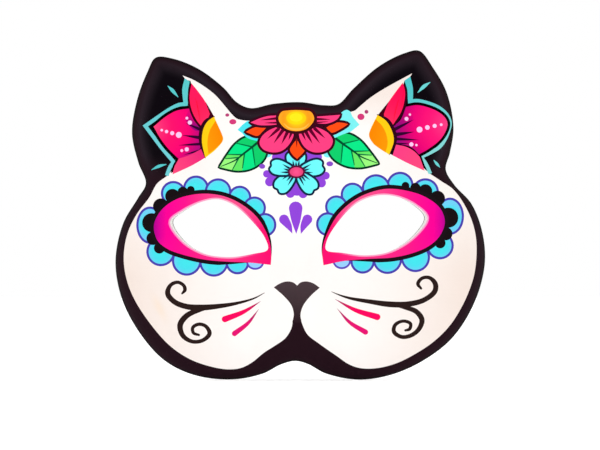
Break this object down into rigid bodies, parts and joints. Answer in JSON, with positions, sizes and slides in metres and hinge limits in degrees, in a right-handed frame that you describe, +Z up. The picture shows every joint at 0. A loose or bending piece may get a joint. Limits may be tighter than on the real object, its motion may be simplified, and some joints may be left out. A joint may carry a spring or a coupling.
{
  "type": "cat half mask",
  "caption": "Soft moulded cat half mask with upright ears, almond eye openings, a printed face and a sewn elastic head band.",
  "frame": {"origin": "the point of the lining midway between the eyes, where the mask rests on the bridge of the wearer's nose", "axes": "+X to the right as seen from the front, +Y from the printed face back towards the wearer, +Z up towards the ears"},
  "size_m": [0.2077, 0.1056, 0.1843],
  "materials": {
    "printed_knit": "satin",
    "white_foam": "matte",
    "lining_knit": "matte",
    "black_elastic": "matte",
    "black_thread": "satin"
  },
  "bodies": {
    "mask": {"printed_cover": "printed_knit", "foam_core": "white_foam", "back_lining": "lining_knit", "left_strap_tail": "black_elastic", "right_strap_tail": "black_elastic", "left_bartack": "black_thread", "right_bartack": "black_thread"},
    "band": {"elastic_strap": "black_elastic"}
  },
  "joints": [
    {"name": "band_swing", "type": "hinge", "parent": "mask", "child": "band", "pos_m": [0, 0.052, -0.008], "axis": [1, 0, 0], "range_deg": [-20, 110]}
  ]
}
